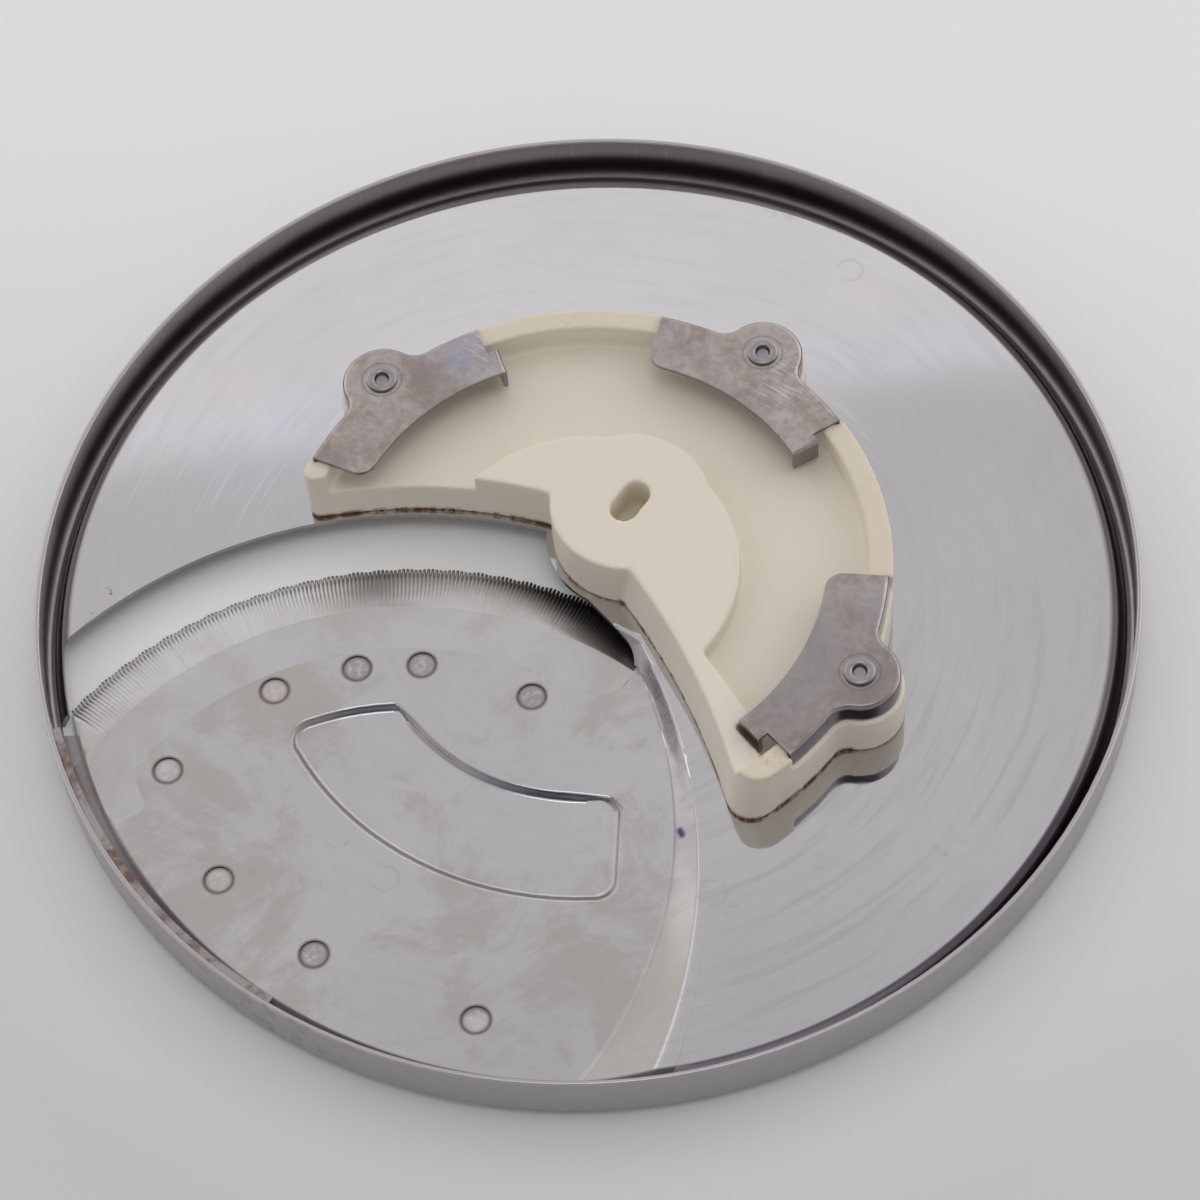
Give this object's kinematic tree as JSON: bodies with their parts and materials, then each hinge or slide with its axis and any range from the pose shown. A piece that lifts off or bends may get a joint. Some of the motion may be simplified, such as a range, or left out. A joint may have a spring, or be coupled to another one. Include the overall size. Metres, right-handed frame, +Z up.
{
  "type": "food processor slicing disc",
  "caption": "Pressed steel slicing disc with a rolled rim, a serrated sickle blade and a cut-away plastic hub for a bayonet drive stem.",
  "frame": {"origin": "on the disc's axis, in the plane that its working side rests on", "axes": "+Z up along the disc's axis, out of the hub side; the window opens towards -X and -Y"},
  "size_m": [0.18, 0.18, 0.0175],
  "materials": {
    "plate_steel": "polished stainless sheet with turned brush marks, water spots and haze",
    "blade_steel": "ground stainless blade stock",
    "strip_steel": "plain stainless strip with brown residue",
    "hub_plastic": "cream moulded plastic, satin",
    "clip_steel": "pressed steel, worn, with brown and blue heat tint",
    "rivet_steel": "plain rolled rivet"
  },
  "bodies": {
    "root": {"disc_plate": "plate_steel", "slicing_blade": "blade_steel", "balance_strip": "strip_steel", "hub": "hub_plastic", "retaining_clip_1": "clip_steel", "retaining_clip_2": "clip_steel", "retaining_clip_3": "clip_steel", "clip_rivets": "rivet_steel"}
  },
  "joints": []
}
